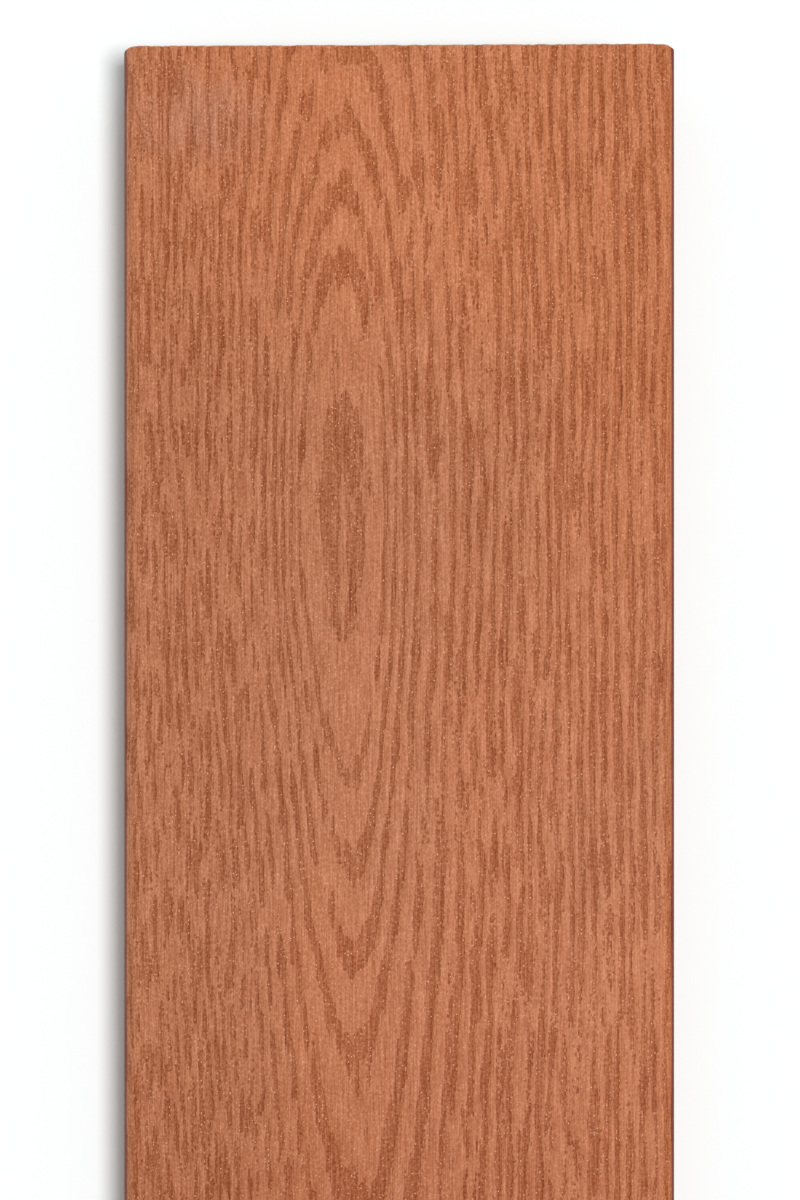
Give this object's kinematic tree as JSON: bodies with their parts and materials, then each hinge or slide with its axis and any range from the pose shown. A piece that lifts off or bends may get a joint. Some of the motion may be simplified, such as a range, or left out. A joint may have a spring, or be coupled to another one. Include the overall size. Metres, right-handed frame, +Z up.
{
  "type": "decking board",
  "caption": "Long solid wood-plastic composite deck board with rounded long edges, square sawn ends and an embossed wood-grain walking face.",
  "frame": {"origin": "centre of the underside, on the surface that the board lies on", "axes": "+Z up out of the walking face, Y along the board with the pictured end at +Y, X across it"},
  "size_m": [0.1396, 2.4384, 0.0254],
  "materials": {
    "board": "embossed and brushed wood-plastic composite, cedar brown, low sheen"
  },
  "bodies": {
    "root": {"decking_board": "board"}
  },
  "joints": []
}
